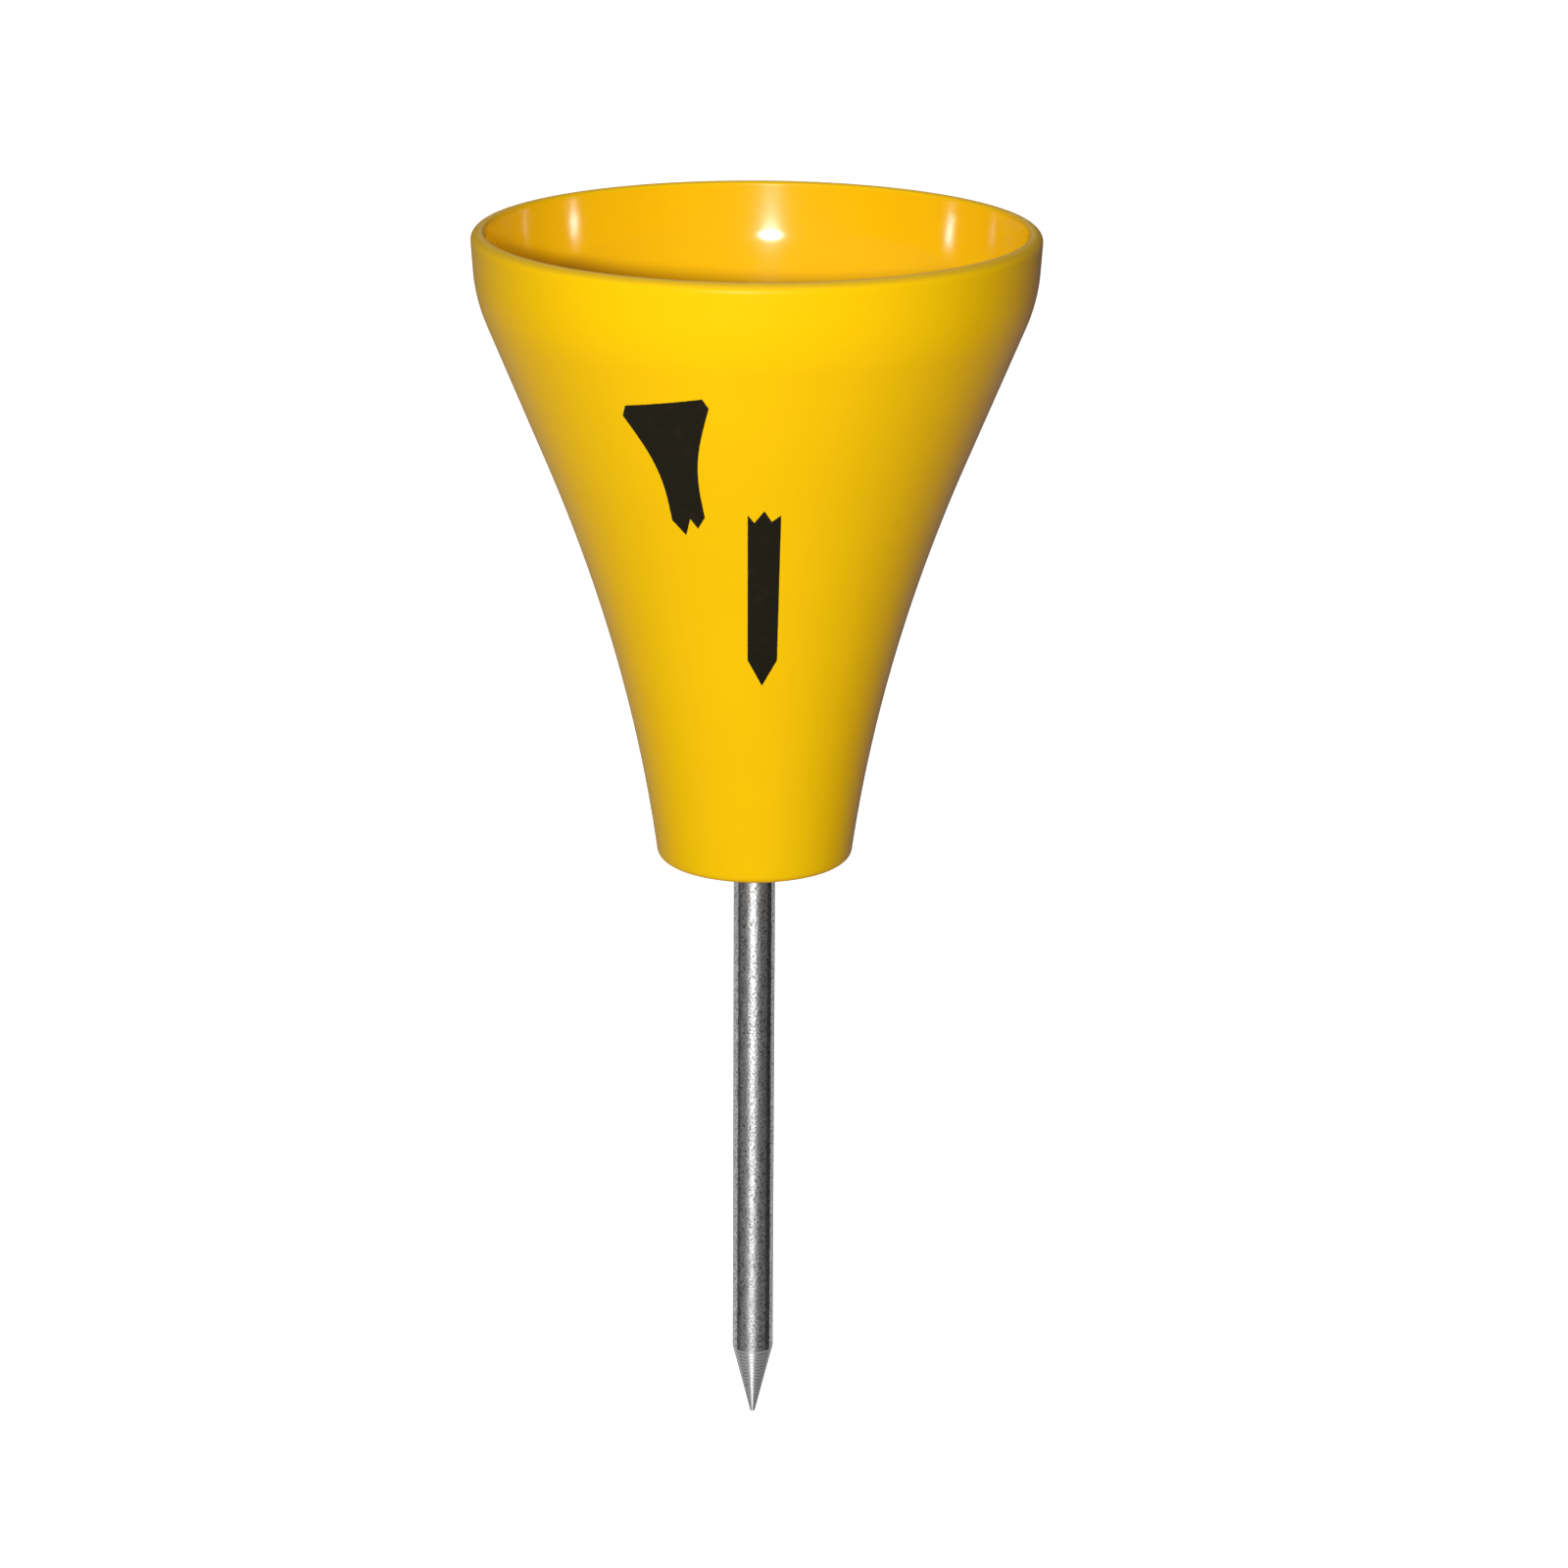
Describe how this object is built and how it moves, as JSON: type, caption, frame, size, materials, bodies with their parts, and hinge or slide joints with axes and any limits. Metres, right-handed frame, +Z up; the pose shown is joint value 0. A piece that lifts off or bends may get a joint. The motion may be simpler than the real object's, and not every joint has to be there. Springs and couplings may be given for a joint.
{
  "type": "broken-tee container",
  "caption": "Open cup shaped like a giant golf tee, on a pointed steel spike pushed into the turf of a tee box, for collecting broken golf tees.",
  "frame": {"origin": "on the axis, in the plane of the cup's foot, which is the turf line when the spike is pushed in", "axes": "+Z up along the axis, through the cup's open mouth; the pictogram faces -Y"},
  "size_m": [0.1301, 0.1302, 0.2965],
  "materials": {
    "yellow_plastic": "glossy moulded",
    "steel_rod": "bright drawn, lightly speckled",
    "zinc_plated": "clear zinc plate",
    "nylon": "natural nylon",
    "black_film": "satin vinyl film"
  },
  "bodies": {
    "root": {"cup": "yellow_plastic", "spike": "steel_rod", "jam_nut": "zinc_plated", "under_washer": "zinc_plated", "fender_washer": "zinc_plated", "lock_nut": "zinc_plated", "lock_nut_insert": "nylon", "tee_head_film": "black_film", "tee_shank_film": "black_film"}
  },
  "joints": []
}
